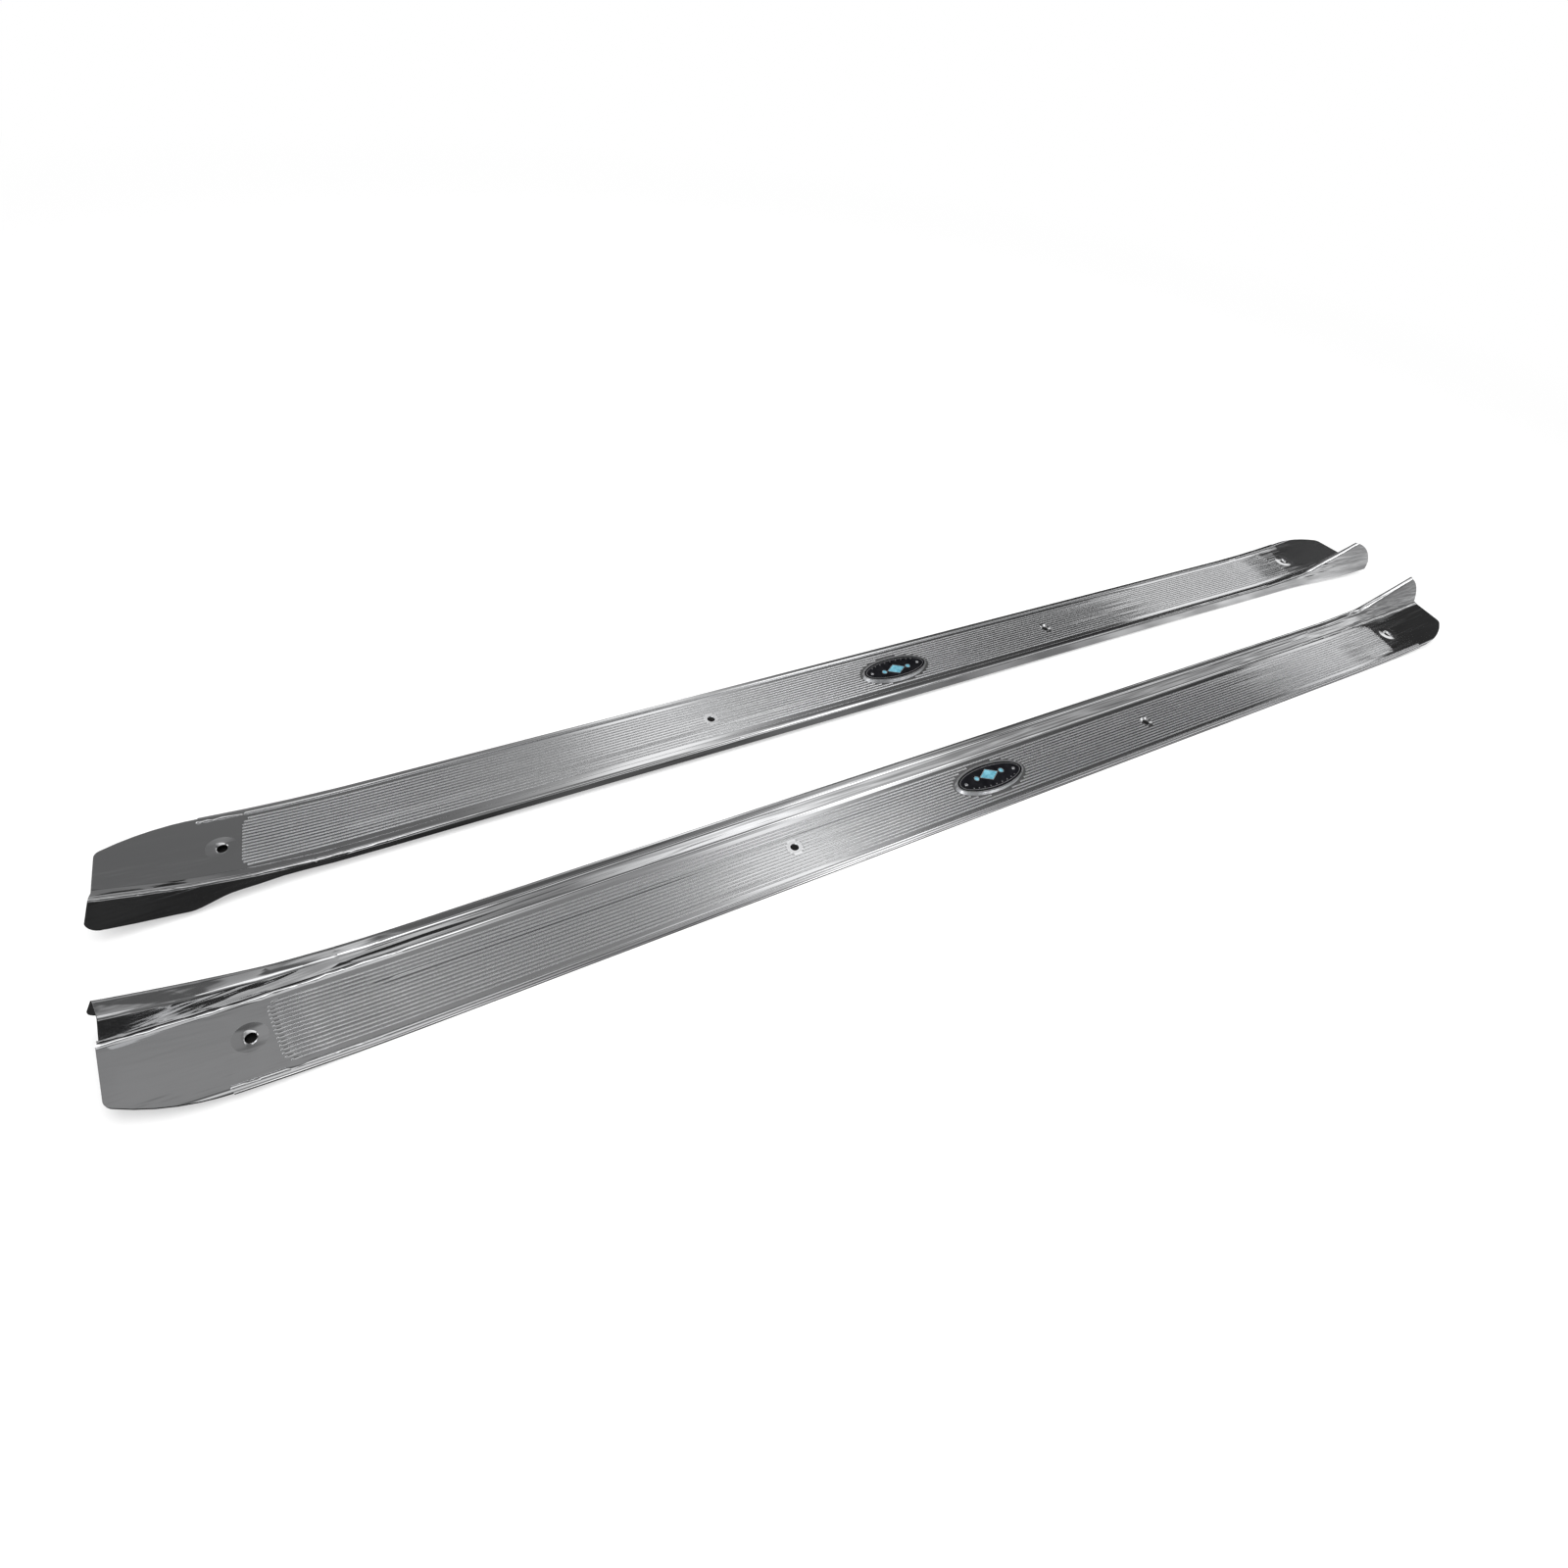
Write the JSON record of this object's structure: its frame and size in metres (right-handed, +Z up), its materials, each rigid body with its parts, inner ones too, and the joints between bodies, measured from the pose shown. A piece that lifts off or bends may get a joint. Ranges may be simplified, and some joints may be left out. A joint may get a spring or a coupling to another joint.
{
  "type": "door sill scuff plate pair",
  "caption": "Mirrored pair of bright door sill scuff plates with a ribbed tread, a folded flange, an oval enamelled badge and countersunk screw holes.",
  "frame": {"origin": "on the front plate's underside, midway between its two middle screw holes, straight below the badge", "axes": "+X along the plates towards the ends with the tall fin, +Y from the front plate to the back plate, +Z up out of the treads; the back plate mirrors the front plate in the plane y = 0.059 m"},
  "size_m": [1.0388, 0.168, 0.0332],
  "materials": {
    "polished_sheet": "bright polished sheet metal",
    "badge_metal": "bright plated stamping",
    "black_enamel": "glossy fused enamel",
    "blue_enamel": "glossy translucent enamel",
    "rivet_metal": "satin"
  },
  "bodies": {
    "root": {"front_sill_plate": "polished_sheet", "front_badge_base": "badge_metal", "front_badge_black_enamel": "black_enamel", "front_badge_blue_enamel": "blue_enamel", "front_badge_rivets": "rivet_metal", "back_sill_plate": "polished_sheet", "back_badge_base": "badge_metal", "back_badge_black_enamel": "black_enamel", "back_badge_blue_enamel": "blue_enamel", "back_badge_rivets": "rivet_metal"}
  },
  "joints": []
}
